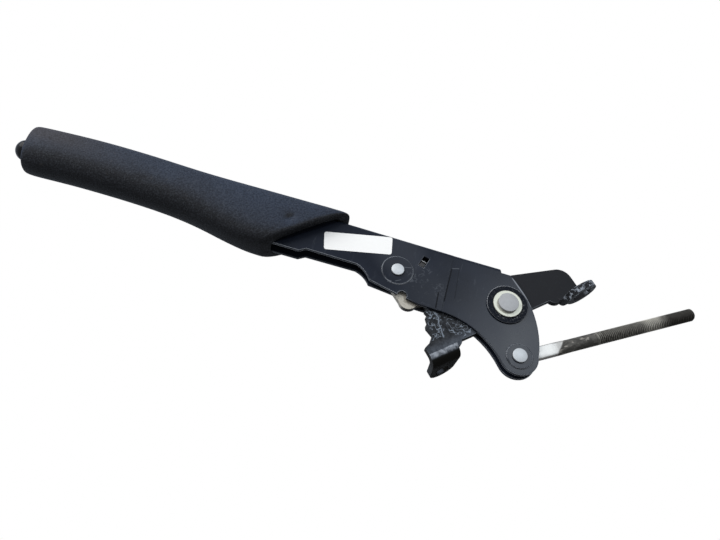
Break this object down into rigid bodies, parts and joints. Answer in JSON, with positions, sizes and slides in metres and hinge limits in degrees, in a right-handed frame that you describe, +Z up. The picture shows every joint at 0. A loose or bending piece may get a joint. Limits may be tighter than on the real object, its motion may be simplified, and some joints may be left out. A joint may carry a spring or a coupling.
{
  "type": "parking brake lever",
  "caption": "Parking brake lever: a pressed channel lever with a soft grip and push-button pawl release turns on a toothed bracket and draws a threaded pull rod.",
  "frame": {"origin": "centre of the front foot's bolt hole, on the mounting plane", "axes": "+Z up, square to the mounting plane; +X rearward along the vehicle, from the grip's end towards the pull rod's end; the lever turns in planes parallel to XZ"},
  "size_m": [0.3422, 0.0445, 0.2886],
  "materials": {
    "bracket_black": "black stoved finish, greasy and scratched",
    "lever_black": "black electrocoat with a blue tint",
    "grip_foam": "moulded soft skin with a fine matt grain",
    "zinc_bright": "bright zinc",
    "pale_zinc": "pale cream zinc",
    "steel_grey": "plain steel",
    "rod_steel": "dark oiled steel",
    "button_black": "gloss black",
    "guide_white": "natural nylon"
  },
  "bodies": {
    "bracket": {"ratchet_bracket": "bracket_black", "pivot_rivet": "steel_grey", "near_pivot_washer": "pale_zinc", "far_pivot_washer": "pale_zinc"},
    "lever": {"lever_channel": "lever_black", "near_pivot_bush": "lever_black", "far_pivot_bush": "lever_black", "grip": "grip_foam", "button_guide": "button_black", "rod_guide": "guide_white", "spring_seat": "zinc_bright", "pawl_rivet": "zinc_bright", "near_pawl_spacer": "steel_grey", "far_pawl_spacer": "steel_grey", "pawl_spring": "zinc_bright", "pull_rod_pin": "zinc_bright", "pin_retaining_ring": "steel_grey"},
    "button": {"button": "button_black", "release_rod": "steel_grey", "rod_collar": "zinc_bright", "button_spring": "steel_grey"},
    "pawl": {"pawl": "pale_zinc"},
    "pull_rod": {"pull_rod": "rod_steel"}
  },
  "joints": [
    {"name": "lever_hinge", "type": "hinge", "parent": "bracket", "child": "lever", "pos_m": [0.05, -0.016, 0.015], "axis": [0, 1, 0], "range_deg": [-12, 18]},
    {"name": "button_slide", "type": "slide", "parent": "lever", "child": "button", "axis": [0.7431, 0, -0.6691], "range_m": [0, 0.005], "stiffness_N_per_m": 1500, "deforming": ["button_spring"]},
    {"name": "pawl_hinge", "type": "hinge", "parent": "lever", "child": "pawl", "pos_m": [-0.00058, -0.016, 0.06269], "axis": [0, 1, 0], "range_deg": [0, 17]},
    {"name": "pull_rod_swing", "type": "hinge", "parent": "lever", "child": "pull_rod", "pos_m": [0.03799, -0.016, -0.01657], "axis": [0, 1, 0], "range_deg": [-10, 45]}
  ],
  "couplings": [
    {"joint": "pawl_hinge", "follows": "button_slide", "rad_per_m": 58.82}
  ]
}
